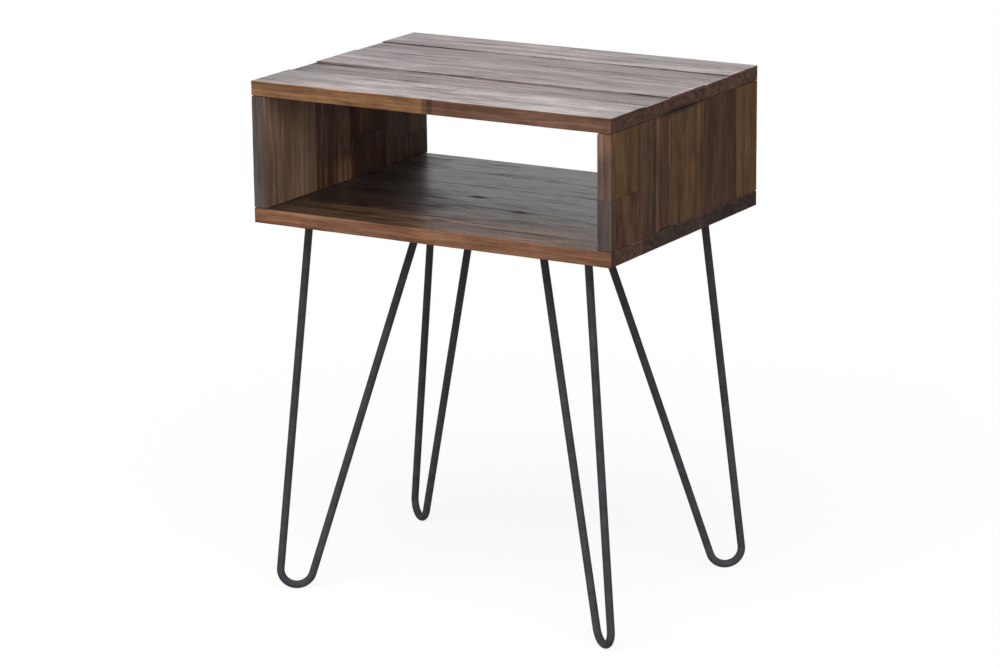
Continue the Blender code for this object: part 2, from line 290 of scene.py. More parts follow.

# %% [markdown]
# ## The wood finish
# One function makes the wood of a stave. Blotches, growth rings, streaks and fine fibres are summed to
# one shade, which runs through the stave's tone. Dark veins, pale streaks and pores lie over it. Face
# layers named arris, edge, end and seam tell the finish where the stave was rubbed, sawn, cut across
# and glued. Rubbed arrises are lighter, partly as bare wood and partly as a painted highlight. The
# lacquer is the shader's coat: full on the faces, thin on edges and gone from the ends.

# %% Colour along the shade
# Place on the ramp, and how many contrasts the colour there lies from the middle of the tone.
RAMP_STEPS = ((0.0, -1.5), (0.3, -0.6), (0.5, 0.0), (0.7, 0.6), (1.0, 1.6))
DARKEST = 0.2
GREY_TURN = (0.0, 0.10, 0.14)


def tone_ramp(tree, shade, tone):
    """Dark grain is a little redder than the tone, light grain a little greyer."""
    middle, contrast, _ = TONES[tone]
    ramp = tree.nodes.new("ShaderNodeValToRGB")
    stops = ramp.color_ramp.elements
    for position, _ in RAMP_STEPS[1:-1]:
        stops.new(position)
    for stop, (position, step) in zip(stops, RAMP_STEPS):
        change = contrast * step
        lift = max(1.0 + change, DARKEST)
        colour = [part * lift * (1.0 + turn * change) for part, turn in zip(middle, GREY_TURN)]
        stop.position = position
        stop.color = (*colour, 1.0)
    tree.links.new(shade, ramp.inputs["Fac"])
    return ramp.outputs["Color"]


def face_layer(tree, name):
    """Value that the mesh carries on its faces under the name."""
    layer = tree.nodes.new("ShaderNodeAttribute")
    layer.attribute_name = name
    return layer.outputs["Fac"]


print("a shade runs through", len(RAMP_STEPS), "colours")

# %% Marks in the wood
# Scale along and across the grain, detail, and the range of the noise that becomes the mark.
MARKS = {
    "blotch": ((4.5, 32.0), 2.0, 0.30, 0.70),
    "mottle": ((24.0, 75.0), 2.0, 0.30, 0.70),
    "streak": ((11.0, 150.0), 3.0, 0.28, 0.72),
    "vein": ((9.0, 230.0), 2.0, 0.56, 0.72),
    "pale": ((8.0, 130.0), 2.0, 0.56, 0.74),
    "fibre": ((30.0, 800.0), 2.0, 0.25, 0.75),
    "pore": ((110.0, 1700.0), 1.0, 0.60, 0.68),
}
MARK_SHIFT = 3.1


def wood_marks(tree, place, grain, shift):
    """Marks of every width as values from 0 to 1, by name."""
    marks = {}
    for step, (mark, (scale, detail, low, high)) in enumerate(MARKS.items()):
        cloud = streaks(tree, place, grain, *scale, shift + MARK_SHIFT * step, detail)
        marks[mark] = spread(tree, cloud.outputs["Fac"], low, high)
    return marks


def with_weights(marks, weights):
    """Pairs of a mark and its weight."""
    return [(marks[mark], weight) for mark, weight in weights.items()]


def weighed(tree, *parts):
    """Sum of values, each times its weight."""
    total = 0.0
    for value, weight in parts:
        total = work_out(tree, "MULTIPLY_ADD", value, weight, total)
    return total


print(len(MARKS), "kinds of mark")

# %% Kinds of spot
# Tint, the nearness where it begins and where it is full, and how far the spot takes the lacquer off.
SPOT_KINDS = {
    "knot": ((0.30, 0.29, 0.30, 1.0), 0.25, 0.80, 1.0),
    "pin_knot": ((0.42, 0.32, 0.29, 1.0), 0.20, 0.90, 0.3),
    "filler": ((0.55, 0.62, 0.66, 1.0), 0.00, 0.30, 0.0),
    "glue": ((0.45, 0.45, 0.47, 1.0), 0.00, 0.60, 0.0),
    "pale": ((1.78, 1.84, 1.98, 1.0), 0.05, 0.70, 0.0),
    "eye": ((1.50, 1.45, 1.35, 1.0), 0.00, 0.90, 0.0),
    "bared": ((1.75, 1.58, 1.36, 1.0), 0.00, 0.50, 0.0),
    # Wear, and on the front arris of the top also a painted highlight.
    "wear_and_highlight": ((1.45, 1.45, 1.45, 1.0), 0.00, 0.90, 0.0),
    # Painted highlight on the arris of the top's right end.
    "arris_highlight": ((1.90, 2.05, 2.25, 1.0), 0.00, 0.40, 0.0),
    # Painted shadow in the joints of the right side.
    "joint_shadow": ((0.30, 0.30, 0.31, 1.0), 0.00, 0.70, 0.0),
    # Grime from hands, and painted shade at the left end of the top and the left of the shelf.
    "grime_and_shade": ((0.55, 0.53, 0.52, 1.0), 0.00, 1.00, 0.10),
    "dulled": ((1.00, 1.00, 1.00, 1.0), 0.00, 1.00, 0.40),
    # Painted light on the front of the shelf; it also thins the lacquer.
    "light_pool": ((3.40, 3.05, 2.40, 1.0), 0.00, 1.00, 0.26),
}
print(len(SPOT_KINDS), "kinds of spot")

# %% Colour of one stave
SHADE_WEIGHTS = {"blotch": 0.26, "mottle": 0.18, "streak": 0.22, "fibre": 0.12}
RING_WEIGHT = 0.22
SHADE_SPAN = (0.25, 0.75)
PORE_BROWN = (0.35, 0.28, 0.25, 1.0)
VEIN_BROWN = (0.42, 0.34, 0.31, 1.0)
PALE_LIFT = (1.50, 1.46, 1.42, 1.0)
# Lightens rubbed arrises: partly bare wood, partly a painted highlight.
ARRIS_WEAR_AND_HIGHLIGHT = (1.35, 1.30, 1.27, 1.0)
MARK_TINTS = (("pale", 0.55, PALE_LIFT), ("vein", 0.75, VEIN_BROWN), ("pore", 0.80, PORE_BROWN))
EDGE_VEINS = 0.5
RAGGED = (0.5, 1.5)
ARRIS_WEAR_AND_HIGHLIGHT_SPAN = (0.2, 0.9)


def wood_colour(tree, marks, rings, tones, spots):
    """Tones of face, edge and end, with marks, spots and rubbed arrises over them.
    Some spots are painted light and shade, and the rubbed arrises also carry a painted highlight.
    """
    parts = with_weights(marks, SHADE_WEIGHTS)
    shade = spread(tree, weighed(tree, (rings, RING_WEIGHT), *parts), *SHADE_SPAN)
    face, edge, end = (tone_ramp(tree, shade, tone) for tone in tones)
    is_edge = face_layer(tree, "edge")
    colour = blend_colours(tree, is_edge, face, edge)
    colour = blend_colours(tree, face_layer(tree, "end"), colour, end)
    _, _, veins = TONES[tones[0]]
    marked = spread(tree, is_edge, 0.0, 1.0, veins, EDGE_VEINS)
    for mark, strength, tint in MARK_TINTS:
        share = work_out(tree, "MULTIPLY", work_out(tree, "MULTIPLY", marks[mark], strength), marked)
        colour = blend_colours(tree, share, colour, tint, "MULTIPLY")
    for kind, nearness in spots:
        tint, rim, full, _ = SPOT_KINDS[kind]
        torn = spread(tree, marks["streak"], 0.0, 1.0, *RAGGED)
        ragged = work_out(tree, "MULTIPLY", nearness, torn)
        colour = blend_colours(tree, spread(tree, ragged, rim, full), colour, tint, "MULTIPLY")
    # Arrises are lightened, partly as bare wood and partly as a painted highlight.
    streaked = spread(tree, marks["streak"], *ARRIS_WEAR_AND_HIGHLIGHT_SPAN)
    rubbed = work_out(tree, "MULTIPLY", face_layer(tree, "arris"), streaked)
    return blend_colours(tree, rubbed, colour, ARRIS_WEAR_AND_HIGHLIGHT, "MULTIPLY")


print(len(MARK_TINTS), "marks lie over the shade")

# %% Lacquer and relief
SAWN_BARE = {"edge": 0.85, "seam": 0.85, "end": 1.0}
GRAIN_BARE = {"vein": 0.60, "mottle": 0.30, "streak": 0.25}
FULL_LACQUER = 0.30
LACQUER_INDEX = 1.7


def lay_lacquer(tree, shader, marks, spots, lacquer, roughness):
    """Coat that is thin over open grain and worn spots, and gone where the stave was sawn across."""
    sawn = [(face_layer(tree, name), weight) for name, weight in SAWN_BARE.items()]
    worn_off = [(nearness, SPOT_KINDS[kind][-1]) for kind, nearness in spots]
    bare = weighed(tree, *sawn, *with_weights(marks, GRAIN_BARE), *worn_off)
    tree.links.new(spread(tree, bare, FULL_LACQUER, 1.0, lacquer, 0.0), shader.inputs["Coat Weight"])
    shader.inputs["Coat IOR"].default_value = LACQUER_INDEX
    shader.inputs["Coat Roughness"].default_value = roughness


def add_relief(tree, shader, height, strength, depth):
    """Fine bumps in the surface and in the coat over it."""
    relief = tree.nodes.new("ShaderNodeBump")
    relief.inputs["Strength"].default_value = strength
    relief.inputs["Distance"].default_value = depth
    tree.links.new(height, relief.inputs["Height"])
    for normal in ("Normal", "Coat Normal"):
        tree.links.new(relief.outputs["Normal"], shader.inputs[normal])


print(f"lacquer begins to thin where the wood is {FULL_LACQUER:.0%} bare")

# %% Wood of one stave
BARE_GLOSS = 0.04
BARE_ROUGHNESS = (0.72, 0.55)
RELIEF_WEIGHTS = {"fibre": 1.0, "streak": 2.0, "pore": -1.0, "vein": -2.0}
RELIEF_STRENGTH = 0.6
RELIEF_DEPTH = 0.00022


def new_finish(name):
    """Finish with its nodes, its shader and the place on the object."""
    finish = bpy.data.materials.new(name)
    finish.use_nodes = True
    tree = finish.node_tree
    place = tree.nodes.new("ShaderNodeTexCoord").outputs["Object"]
    return finish, tree, tree.nodes["Principled BSDF"], place


def stave_wood(name, grain, tones, heart, tilt, spacing, shift, spots=(), lacquer=0.0, roughness=0.0):
    finish, tree, shader, straight = new_finish(f"{name}_wood")
    place = wandering(tree, straight, grain, shift)
    near = [(kind, spot_nearness(tree, straight, centre, reach)) for kind, centre, reach in spots]
    knots = [nearness for kind, nearness in near if kind == "knot"]
    marks = wood_marks(tree, place, grain, shift)
    rings = growth_rings(tree, place, grain, heart, tilt, spacing, knots)
    tree.links.new(wood_colour(tree, marks, rings, tones, near), shader.inputs["Base Color"])
    tree.links.new(spread(tree, marks["fibre"], 0.0, 1.0, *BARE_ROUGHNESS), shader.inputs["Roughness"])
    shader.inputs["Specular IOR Level"].default_value = BARE_GLOSS
    if lacquer:
        lay_lacquer(tree, shader, marks, near, lacquer, roughness)
    height = weighed(tree, *with_weights(marks, RELIEF_WEIGHTS))
    add_relief(tree, shader, height, RELIEF_STRENGTH, RELIEF_DEPTH)
    return finish


print(f"relief of {RELIEF_DEPTH * MILLIMETRES:.2f} mm")

# %% [markdown]
# ## Shaping the staves
# A real stave is planed and glued, and then its outer arrises are rubbed down by hand, while the arrises
# along a glue line stay crisp. A cube that is cut along and across gives the points to work with. A
# Bevel modifier with edge weights rounds outer arrises more than glued ones, and its result is kept as
# the mesh. Noise then takes up to a third of a millimetre off here and there, always inwards, so the
# stave never leaves the space of its solid.

# %% Which faces are glued
TOUCH = 0.0005
FACING = 0.5
SHELF_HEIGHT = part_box("bottom_stave_1")[1].z
TOP_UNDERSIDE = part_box("top_stave_1_left")[0].z


def is_glued(face, grain):
    """Staves are glued front to back, and the lengths of a stave end to end."""
    centre = face.calc_center_median()
    if abs(face.normal.y) > FACING:
        return abs(centre.y) < HALF_DEPTH - TOUCH
    if grain == "upright":
        return abs(face.normal.z) > FACING and SHELF_HEIGHT + TOUCH < centre.z < TOP_UNDERSIDE - TOUCH
    return abs(face.normal.x) > FACING and abs(centre.x) < HALF_WIDTH - TOUCH


print(f"the box is open from {SHELF_HEIGHT:.4f} to {TOP_UNDERSIDE:.4f} m up")

# %% Plane a stave
OUTER_EASE = 0.0010
GLUED_EASE = 0.0001
GLUE_LINE = 0.00013
CUT_SPACING = 0.014
ALONG = 0.9
SHARP_TURN = 1.0
DEPTH_AXIS = 1


def cut_along(shape, axis, length):
    """Cuts the lines that run along an axis into even lengths."""
    lines = []
    for line in shape.edges:
        first, last = line.verts
        if abs((last.co - first.co).normalized()[axis]) > ALONG:
            lines.append(line)
    cuts = max(1, round(length / CUT_SPACING))
    bmesh.ops.subdivide_edges(shape, edges=lines, cuts=cuts, use_grid_fill=True)


def planed_stave(node, grain):
    """A cut-up block in the place of the node, with a weight on each arris."""
    low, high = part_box(node)
    size = high - low
    shape = bmesh.new()
    bmesh.ops.create_cube(shape, size=1.0, matrix=Matrix.LocRotScale((low + high) / 2, None, size))
    for face in shape.faces:
        if is_glued(face, grain):
            bmesh.ops.translate(shape, verts=face.verts, vec=face.normal * GLUE_LINE)
    for axis in (GRAIN_AXES[grain], DEPTH_AXIS):
        cut_along(shape, axis, size[axis])
    weights = shape.edges.layers.float.new("bevel_weight_edge")
    for arris in shape.edges:
        if arris.calc_face_angle() > SHARP_TURN:
            glued = any(is_glued(face, grain) for face in arris.link_faces)
            arris[weights] = GLUED_EASE / OUTER_EASE if glued else 1.0
    return shape


print(f"arrises: outer {OUTER_EASE * MILLIMETRES:.1f} mm, glued {GLUED_EASE * MILLIMETRES:.1f} mm")

# %% Helpers for new pieces
def add_object(name, shape):
    """Object at the origin from a bmesh."""
    mesh = bpy.data.meshes.new(name)
    shape.to_mesh(mesh)
    shape.free()
    mesh.shade_smooth()
    item = bpy.data.objects.new(name, mesh)
    bpy.context.collection.objects.link(item)
    return item


def add_piece(name, shape, slot, *nodes):
    """Object that stands for the solid nodes."""
    piece = add_object(name, shape)
    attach(piece, "root")
    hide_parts(*nodes)
    return piece


def keep_modifiers(piece):
    """Makes the result of the modifiers the piece's own mesh."""
    bpy.context.view_layer.update()
    finished = piece.evaluated_get(bpy.context.evaluated_depsgraph_get())
    result = bpy.data.meshes.new_from_object(finished)
    piece.modifiers.clear()
    piece.data = result


def dress(piece, finish):
    """Gives the piece its one finish."""
    piece.data.materials.clear()
    piece.data.materials.append(finish)


# %% Rub the stave down
FACE_LAYERS = ("arris", "edge", "end", "seam")
RUBBED_FLAT = 0.00016
RUBBED_ARRIS = 0.00035
FLAT_WAVES = 14.0
ARRIS_WAVES = 60.0
FLAT_FACING = 0.999


def rub_down(shape, grain):
    """Marks the faces for the finish, then takes a little off, more along the arrises."""
    layers = {name: shape.faces.layers.float.new(name) for name in FACE_LAYERS}
    shape.normal_update()
    rubbed = set()
    for face in shape.faces:
        turned = [abs(part) for part in face.normal]
        if max(turned) < FLAT_FACING:
            face[layers["arris"]] = 1.0
            rubbed.update(face.verts)
        glued = is_glued(face, grain)
        face[layers["seam"]] = float(glued)
        face[layers["edge"]] = float(turned[DEPTH_AXIS] == max(turned) and not glued)
        face[layers["end"]] = float(turned[GRAIN_AXES[grain]] == max(turned))
    for point in shape.verts:
        depth, waves = (RUBBED_ARRIS, ARRIS_WAVES) if point in rubbed else (RUBBED_FLAT, FLAT_WAVES)
        share = (1.0 + noise.noise(point.co * waves)) / 2
        point.co -= point.normal * depth * min(max(share, 0.0), 1.0)


print(f"arrises are rubbed by up to {RUBBED_ARRIS * MILLIMETRES:.2f} mm")

# %% Make a stave
EASE_STEPS = 3


def make_stave(node, grain, slot):
    stave = add_piece(f"{node}_board", planed_stave(node, grain), slot, node)
    ease = stave.modifiers.new("eased_arrises", "BEVEL")
    ease.limit_method = "WEIGHT"
    ease.width = OUTER_EASE
    ease.segments = EASE_STEPS
    keep_modifiers(stave)
    shape = bmesh.new()
    shape.from_mesh(stave.data)
    rub_down(shape, grain)
    shape.to_mesh(stave.data)
    shape.free()
    stave.data.shade_smooth()
    even = stave.modifiers.new("even_faces", "WEIGHTED_NORMAL")
    even.keep_sharp = True
    return stave


print("arrises are rounded in", EASE_STEPS, "steps")

# %% [markdown]
# ## Knots, glue, wear, and painted light and shade
# No two boards age alike. There are knots in the shelf, and filler and glue in the joints. There is
# painted shadow in the joints under the top and above the shelf, and pale arrises where the finish has
# rubbed off, which also carry a painted highlight. Hands have darkened some patches, painted shade
# darkens the left end of the top and the left of the shelf, a pool of painted light lies on the front of
# the shelf, and things have dulled other patches. They could be painted on a picture, but that would need
# every stave unwrapped. Here a spot is a kind, a place on the table and a reach along the three axes, so
# one spot can run on from stave to stave.

# %% Places for spots
LEFT_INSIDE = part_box("left_side_stave_1")[1].x
LEFT_GLUE_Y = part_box("left_side_stave_5_lower")[0].y
RIGHT_GLUE_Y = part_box("right_side_stave_2")[0].y


def on_top(kind, across, back, reach):
    return kind, (across, back, TABLE_HEIGHT), reach


def on_shelf(kind, across, back, reach):
    return kind, (across, back, SHELF_HEIGHT), reach


def on_front(kind, across, height, reach):
    return kind, (across, -HALF_DEPTH, height), reach


def on_left(kind, back, height, reach):
    """On the inner face of the left side."""
    return kind, (LEFT_INSIDE, back, height), reach


def on_right(kind, back, height, reach):
    """On the outer face of the right side."""
    return kind, (HALF_WIDTH, back, height), reach


print(f"the inner face of the left side is at {LEFT_INSIDE:.4f} m")

# %% Spots on the top
FILLER = on_front("filler", 0.0013, 0.0, (0.009, 0.0016, math.inf))
# Painted highlight along the front arris of the top, which is also worn there.
FRONT_ARRIS_HIGHLIGHT = on_top("wear_and_highlight", 0.0, -HALF_DEPTH, (math.inf, 0.030, 0.0015))
WORN_PATCH = on_top("wear_and_highlight", -0.050, -0.115, (0.120, 0.048, 0.007))
WORN_MIDDLE = on_top("wear_and_highlight", 0.048, 0.046, (0.065, 0.022, 0.007))
# Painted highlight along the arris of the top's right end.
END_ARRIS_HIGHLIGHT = on_top("arris_highlight", HALF_WIDTH, 0.060, (0.006, 0.200, 0.0030))
# Painted shade at the left end of the top.
TOP_LEFT_END_SHADE = on_top("grime_and_shade", -HALF_WIDTH, 0.0, (0.095, math.inf, 0.007))
HANDLED_CORNER = on_top("grime_and_shade", HALF_WIDTH, -HALF_DEPTH, (0.060, 0.070, 0.007))
HANDLED_FRONT = on_top("grime_and_shade", -0.050, -HALF_DEPTH, (0.070, 0.004, 0.004))
# Painted shadow in the joint between the top's end and the right side.
TOP_JOINT_SHADOW = on_right("joint_shadow", -0.015, TOP_UNDERSIDE, (0.006, 0.075, 0.0055))

SPOTS = {
    "top_stave_1_left": (FILLER, FRONT_ARRIS_HIGHLIGHT, TOP_LEFT_END_SHADE, WORN_PATCH, HANDLED_FRONT),
    "top_stave_1_right": (FILLER, FRONT_ARRIS_HIGHLIGHT, HANDLED_CORNER, WORN_PATCH, HANDLED_FRONT),
    "top_stave_2": (
        END_ARRIS_HIGHLIGHT,
        TOP_JOINT_SHADOW,
        TOP_LEFT_END_SHADE,
        on_top("dulled", -HALF_WIDTH, 0.0, (0.035, math.inf, 0.010)),
        WORN_PATCH,
        on_top("wear_and_highlight", -0.030, -0.053, (0.070, 0.024, 0.007)),
        on_top("wear_and_highlight", 0.101, -0.053, (0.040, 0.024, 0.007)),
    ),
    "top_stave_3": (
        END_ARRIS_HIGHLIGHT,
        TOP_JOINT_SHADOW,
        on_top("grime_and_shade", 0.165, -0.017, (0.060, 0.022, 0.007)),
        on_top("grime_and_shade", HALF_WIDTH, -0.030, (0.012, 0.030, 0.004)),
        WORN_MIDDLE,
    ),
    "top_stave_4": (
        END_ARRIS_HIGHLIGHT,
        on_top("dulled", -HALF_WIDTH, 0.078, (0.035, 0.028, 0.010)),
        WORN_MIDDLE,
    ),
    "top_stave_5": (END_ARRIS_HIGHLIGHT,),
}
print(len(SPOTS), "staves of the top are marked")

# %% Spots on the bottom
KNOT_REACH = (0.021, 0.0080, 0.010)
PIN_REACH = (0.024, 0.0060, 0.010)
WIDE_PIN_REACH = (0.034, 0.0080, 0.010)
# Painted light on the front of the shelf.
SHELF_FRONT_LIGHT = on_shelf("light_pool", 0.060, -0.150, (0.260, 0.110, 0.002))
DULLED = on_shelf("dulled", -0.105, -0.020, (0.060, 0.055, 0.010))
DULLED_BACK = on_shelf("dulled", -0.205, 0.130, (0.060, 0.070, 0.010))
# Painted shade on the left of the shelf, beside the wall.
SHELF_LEFT_SHADE = on_shelf("grime_and_shade", -0.220, -0.110, (0.050, 0.080, 0.010))

BOTTOM_SPOTS = {
    "bottom_stave_1": (
        SHELF_FRONT_LIGHT,
        SHELF_LEFT_SHADE,
        on_shelf("pin_knot", -0.016, -0.140, PIN_REACH),
        on_shelf("grime_and_shade", 0.060, -HALF_DEPTH, (0.240, 0.003, 0.003)),
        on_front("wear_and_highlight", -0.205, SHELF_HEIGHT - 0.0085, (0.046, 0.010, 0.030)),
    ),
    "bottom_stave_2": (
        SHELF_FRONT_LIGHT,
        DULLED,
        SHELF_LEFT_SHADE,
        on_shelf("dulled", -0.055, -0.068, (0.050, 0.035, 0.010)),
        on_shelf("pin_knot", 0.058, -0.058, WIDE_PIN_REACH),
        on_shelf("pin_knot", 0.132, -0.061, PIN_REACH),
    ),
    "bottom_stave_3": (
        DULLED,
        on_shelf("pale", -0.040, -0.016, (0.030, 0.0070, 0.010)),
        on_shelf("knot", -0.038, -0.008, KNOT_REACH),
    ),
    "bottom_stave_4": (DULLED_BACK,),
    "bottom_stave_5": (DULLED_BACK,),
}
SPOTS.update(BOTTOM_SPOTS)
print(len(BOTTOM_SPOTS), "staves of the bottom are marked")

# %% Spots on the sides
BARED_FOOT = on_left("bared", -0.018, SHELF_HEIGHT + 0.0095, (0.005, 0.062, 0.030))
PALE_GLUE = on_left("pale", LEFT_GLUE_Y, SHELF_HEIGHT + 0.0275, (0.005, 0.0045, 0.050))

SIDE_SPOTS = {
    "left_side_stave_1": (
        on_left("grime_and_shade", -0.182, SHELF_HEIGHT + 0.0225, (0.005, 0.034, 0.100)),
        on_left("wear_and_highlight", -0.152, SHELF_HEIGHT + 0.1025, (0.005, 0.012, 0.040)),
    ),
    "left_side_stave_2": (on_left("wear_and_highlight", -0.109, 0.0, (0.005, 0.014, math.inf)),),
    "left_side_stave_3": (
        BARED_FOOT,
        on_left("wear_and_highlight", -0.010, SHELF_HEIGHT + 0.0075, (0.005, 0.030, 0.025)),
        on_left("bared", -0.007, SHELF_HEIGHT + 0.0675, (0.005, 0.016, 0.030)),
    ),
    "left_side_stave_4_lower": (BARED_FOOT, PALE_GLUE),
    "left_side_stave_4_upper": (
        PALE_GLUE,
        on_left("bared", 0.038, SHELF_HEIGHT + 0.0775, (0.005, 0.020, 0.030)),
        on_left("wear_and_highlight", 0.036, SHELF_HEIGHT + 0.0745, (0.005, 0.020, 0.030)),
    ),
    "left_side_stave_5_lower": (PALE_GLUE,),
    "left_side_stave_5_upper": (PALE_GLUE,),
    "right_side_stave_1_upper": (
        on_right("bared", -HALF_DEPTH, TOP_UNDERSIDE, (math.inf, 0.012, 0.036)),
        on_right("grime_and_shade", -HALF_DEPTH, TOP_UNDERSIDE, (0.008, 0.008, 0.012)),
        on_right("wear_and_highlight", -0.149, SHELF_HEIGHT + 0.0925, (0.006, 0.014, 0.045)),
    ),
    "right_side_stave_2": (
        TOP_JOINT_SHADOW,
        on_right("glue", RIGHT_GLUE_Y, 0.0, (math.inf, 0.0014, math.inf)),
        # Painted shadow in the joint above the shelf.
        on_right("joint_shadow", -0.050, SHELF_HEIGHT, (0.006, 0.030, 0.0060)),
        on_right("pale", -0.0755, 0.0, (math.inf, 0.0060, math.inf)),
        on_right("pale", -0.0440, 0.0, (math.inf, 0.0035, math.inf)),
    ),
    "right_side_stave_3": (
        TOP_JOINT_SHADOW,
        on_right("eye", 0.0170, SHELF_HEIGHT + 0.0610, (0.010, 0.0140, 0.022)),
    ),
}
SPOTS.update(SIDE_SPOTS)
print(len(SIDE_SPOTS), "staves of the sides are marked")

# %% [markdown]
# ## Placing the wood
# Each stave says which tones its face, edge and end have, where the heart of its tree lay, counted from
# the middle of the stave, and how far apart the rings are. A heart close below the face gives the broad
# arched figure of a flat-sawn board, and one far off to the side gives the fine straight lines of a
# quarter-sawn one. Every stave could share one wood, but then its lines would run on over the joints.

# %% Finish a stave
LEAN = 0.02
LEAN_STEP = 2.4
SWAY = 0.03
SWAY_STEP = 1.9
TREE_SHIFT = 0.73


def finish_stave(number, node, grain, slot, tones, offset, spacing, lacquer, roughness):
    """Makes the stave of a node, from a tree that leans in its own way."""
    stave = make_stave(node, grain, slot)
    low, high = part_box(node)
    heart = (low + high) / 2
    heart[GRAIN_AXES[grain]] = 0.0
    aside, below = offset
    lean = LEAN * math.sin(LEAN_STEP * number)
    sway = SWAY * math.cos(SWAY_STEP * number)
    if grain == "across":
        heart += Vector((0.0, aside, below))
        tilt = (0.0, lean, sway)
    else:
        heart += Vector((below, aside, 0.0))
        tilt = (sway, lean, 0.0)
    shift = TREE_SHIFT * number
    spots = SPOTS.get(node, ())
    dress(stave, stave_wood(node, grain, tones, heart, tilt, spacing, shift, spots, lacquer, roughness))
    return len(stave.data.polygons)


print(f"trees lean by up to {math.degrees(LEAN):.1f} degrees")

# %% Staves of the top and the bottom
TOP_LACQUER = 1.0
TOP_ROUGHNESS = 0.36
SHELF_LACQUER = 0.76
SHELF_ROUGHNESS = 0.30
LEVEL_STAVES = {
    "top_stave_1_left": (("pale_ash", "honey", "sawn_end"), (0.02, -0.060), 0.0044),
    "top_stave_1_right": (("pale_ash", "russet", "sawn_end"), (0.02, -0.060), 0.0044),
    "top_stave_2": (("dark_ash", "copper", "sawn_end"), (0.05, -0.040), 0.0042),
    "top_stave_3": (("ash", "honey", "sawn_end"), (-0.02, -0.070), 0.0052),
    "top_stave_4": (("dark_ash", "russet", "sawn_end"), (0.09, -0.050), 0.0046),
    "top_stave_5": (("ash", "copper", "sawn_end"), (-0.04, -0.055), 0.0048),
    "bottom_stave_1": (("shelf_brown", "copper", "sawn_end"), (0.03, -0.050), 0.0047),
    "bottom_stave_2": (("shelf_dark", "russet", "dark_end"), (-0.05, -0.060), 0.0043),
    "bottom_stave_3": (("shelf_grey", "copper", "dark_end"), (0.02, -0.045), 0.0051),
    "bottom_stave_4": (("shelf_dark", "honey", "black_end"), (0.08, -0.050), 0.0045),
    "bottom_stave_5": (("shelf_grey", "copper", "black_end"), (-0.03, -0.065), 0.0049),
}
SAME_TREE = {"top_stave_1_right": "top_stave_1_left"}

faces = 0
trees = list(LEVEL_STAVES)
for node, wood in LEVEL_STAVES.items():
    number = trees.index(SAME_TREE.get(node, node)) + 1
    if node.startswith("top"):
        faces += finish_stave(number, node, "across", "top_wood", *wood, TOP_LACQUER, TOP_ROUGHNESS)
    else:
        faces += finish_stave(number, node, "across", "bottom_wood", *wood, SHELF_LACQUER, SHELF_ROUGHNESS)
print(len(LEVEL_STAVES), "staves along the width,", faces, "faces")

# %% Staves of the sides
SIDE_LACQUER = 0.03
SIDE_ROUGHNESS = 0.50
UPRIGHT_STAVES = {
    # The right side's faces use tones darkened by painted shade.
    "right_side_stave_1_lower": (("shade_darkened_umber", "weathered", "sawn_end"), (0.03, -0.050), 0.0042),
    "right_side_stave_1_upper": (("shade_darkened_olive", "warm_weathered", "sawn_end"), (-0.03, -0.060), 0.0050),
    "right_side_stave_2": (("shade_darkened_umber", "russet", "sawn_end"), (0.06, -0.040), 0.0038),
    "right_side_stave_3": (("shade_darkened_olive", "copper", "sawn_end"), (0.00, -0.055), 0.0052),
    "right_side_stave_4": (("shade_darkened_dark_umber", "russet", "sawn_end"), (0.09, -0.030), 0.0045),
    "right_side_stave_5": (("shade_darkened_olive", "warm_weathered", "sawn_end"), (-0.05, -0.060), 0.0047),
    "left_side_stave_1": (("tan", "pale_weathered", "sawn_end"), (0.04, 0.050), 0.0040),
    "left_side_stave_2": (("tan", "copper", "sawn_end"), (-0.05, 0.060), 0.0046),
    "left_side_stave_3": (("dark_tan", "russet", "sawn_end"), (0.02, 0.045), 0.0050),
    "left_side_stave_4_lower": (("shade_darkened_umber", "russet", "sawn_end"), (0.08, 0.050), 0.0043),
    "left_side_stave_4_upper": (("shade_darkened_dark_umber", "copper", "sawn_end"), (-0.06, 0.055), 0.0048),
    "left_side_stave_5_lower": (("walnut", "weathered", "sawn_end"), (0.05, 0.040), 0.0051),
    "left_side_stave_5_upper": (("walnut", "weathered", "sawn_end"), (-0.03, 0.060), 0.0044),
}

faces = 0
for number, (node, wood) in enumerate(UPRIGHT_STAVES.items(), start=len(LEVEL_STAVES) + 1):
    faces += finish_stave(number, node, "upright", "side_wood", *wood, SIDE_LACQUER, SIDE_ROUGHNESS)
print(len(UPRIGHT_STAVES), "upright staves,", faces, "faces")

# %% [markdown]
# ## Black coated steel
# The legs are plain round rod with a satin black coat, baked on as a powder. Powder flows out to a skin
# with a very fine ripple, a little uneven in gloss, and it turns slightly grey and blue in soft light.
# One plain colour would look like plastic, so noise of two sizes makes the clouds and the ripple.

# %% The black coat
COAT_BLACK = (0.042, 0.041, 0.048, 1.0)
COAT_GREY = (0.064, 0.063, 0.072, 1.0)
COAT_CLOUDS = 60.0
CLOUD_DETAIL = 3.0
COAT_RIPPLES = 1400.0
RIPPLE_DETAIL = 2.0
COAT_ROUGHNESS = (0.50, 0.64)
COAT_GLOSS = 0.03
RIPPLE_STRENGTH = 0.25
RIPPLE_DEPTH = 0.0001


def clouds(tree, place, scale, detail):
    """Noise with one scale every way."""
    return streaks(tree, place, "across", scale, scale, 0.0, detail).outputs["Fac"]


